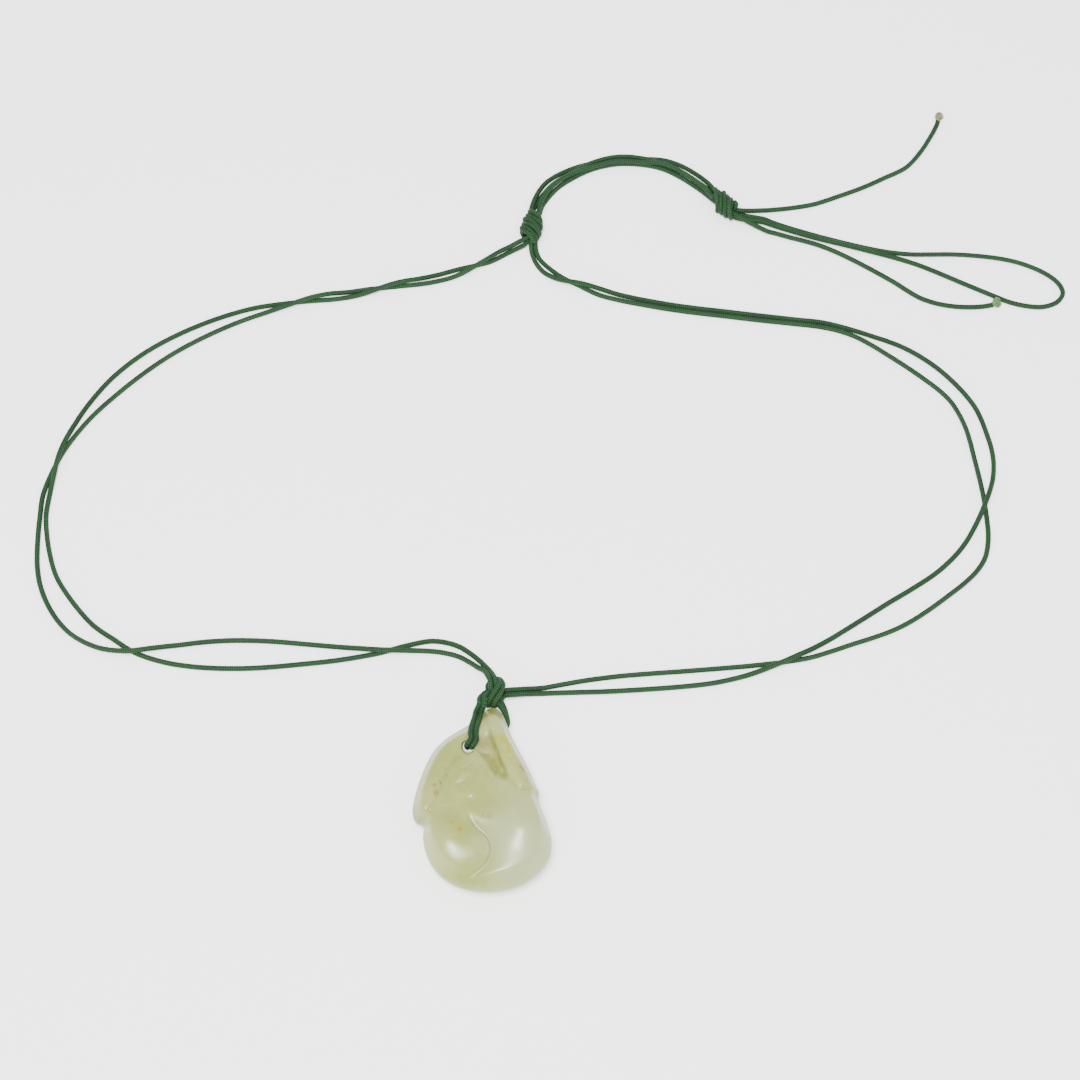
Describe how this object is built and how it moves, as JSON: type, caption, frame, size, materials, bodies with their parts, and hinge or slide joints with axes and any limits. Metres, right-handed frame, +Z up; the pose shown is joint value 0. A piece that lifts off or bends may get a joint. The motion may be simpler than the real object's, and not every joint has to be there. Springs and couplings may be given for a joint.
{
  "type": "carved jade toggle on a cord",
  "caption": "Carved pale green jade fruit-and-leaf toggle, pierced at the stalk, on a long doubled braided cord with sliding knots, free ends and an end loop.",
  "frame": {"origin": "under the middle of the toggle's box, on the surface the toggle lies on; the cord is not counted", "axes": "+Z up out of the carved front, +Y along the toggle from the fruit to the pierced stalk end and the cord, +X to the right seen from the front"},
  "size_m": [0.276, 0.2397, 0.0146],
  "materials": {
    "jade": "polished pale celadon stone, slightly translucent, with faint russet veins",
    "cord": "fine round braid, dark green"
  },
  "bodies": {
    "root": {"jade_toggle": "jade", "toggle_loop_left": "cord", "toggle_loop_right": "cord", "toggle_knot": "cord", "neck_cord_left_lower": "cord", "neck_cord_left_upper": "cord", "neck_cord_right_inner": "cord", "neck_cord_right_outer": "cord", "sliding_knot_near": "cord", "sliding_knot_far": "cord", "closure_cord_1": "cord", "closure_cord_2": "cord", "closure_cord_3": "cord", "closure_cord_4": "cord", "end_loop": "cord", "free_end_upper": "cord", "free_end_lower": "cord"}
  },
  "joints": []
}
